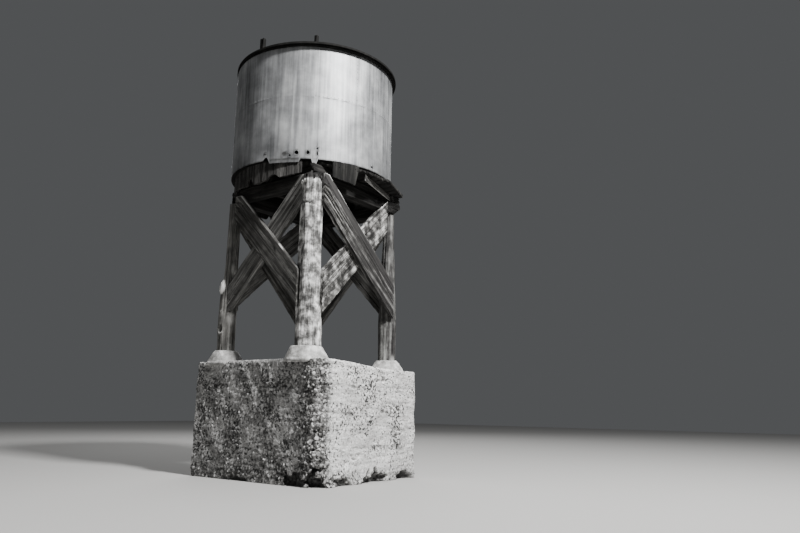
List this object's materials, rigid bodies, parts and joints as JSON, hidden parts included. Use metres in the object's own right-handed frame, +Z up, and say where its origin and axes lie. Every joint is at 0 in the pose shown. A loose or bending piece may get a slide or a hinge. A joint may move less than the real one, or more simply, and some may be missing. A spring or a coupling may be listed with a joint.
{
  "type": "timber water tower",
  "caption": "Round sheet steel water tank on a plank deck, carried by log posts with crossed plank braces on a rough concrete block",
  "frame": {"origin": "the middle of the concrete block's underside, at ground level", "axes": "+Z is up, +X is out of the block's right-hand face, -Y is out of its left-hand front face"},
  "size_m": [2.515, 2.5138, 6.2186],
  "materials": {
    "rough_concrete": "rough, weathered, exposed aggregate",
    "mortar": "rough trowelled mortar",
    "log_timber": "weathered grey, split along the grain",
    "plank_timber": "weathered grey, rough sawn",
    "frame_timber": "dark, rough sawn",
    "skirt_timber": "weathered grey, rotten at the lower edge",
    "tank_steel": "dull galvanised sheet with fine stains",
    "roof_steel": "dull, rusted"
  },
  "bodies": {
    "root": {"base_block": "rough_concrete", "beam_back": "frame_timber", "beam_front": "frame_timber", "beam_left": "frame_timber", "beam_right": "frame_timber", "brace_back_inner": "plank_timber", "brace_back_outer": "plank_timber", "brace_front_inner": "plank_timber", "brace_front_outer": "plank_timber", "brace_left_inner": "plank_timber", "brace_left_outer": "plank_timber", "brace_right_inner": "plank_timber", "brace_right_outer": "plank_timber", "deck": "frame_timber", "joist_1": "frame_timber", "joist_2": "frame_timber", "joist_3": "frame_timber", "joist_4": "frame_timber", "joist_5": "frame_timber", "nailing_plank": "skirt_timber", "pad_back": "mortar", "pad_left": "mortar", "pad_near": "mortar", "pad_right": "mortar", "post_back": "log_timber", "post_left": "log_timber", "post_near": "log_timber", "post_right": "log_timber", "roof_stub_left": "roof_steel", "roof_stub_right": "roof_steel", "skirt_board_back_1": "skirt_timber", "skirt_board_back_2": "skirt_timber", "skirt_board_back_3": "skirt_timber", "skirt_board_front_1": "skirt_timber", "skirt_board_front_2": "skirt_timber", "skirt_board_front_3": "skirt_timber", "skirt_board_left_1": "skirt_timber", "skirt_board_left_2": "skirt_timber", "skirt_board_left_3": "skirt_timber", "skirt_board_right_1": "skirt_timber", "tank_floor": "tank_steel", "tank_roof": "roof_steel", "tank_shell": "tank_steel"}
  },
  "joints": []
}
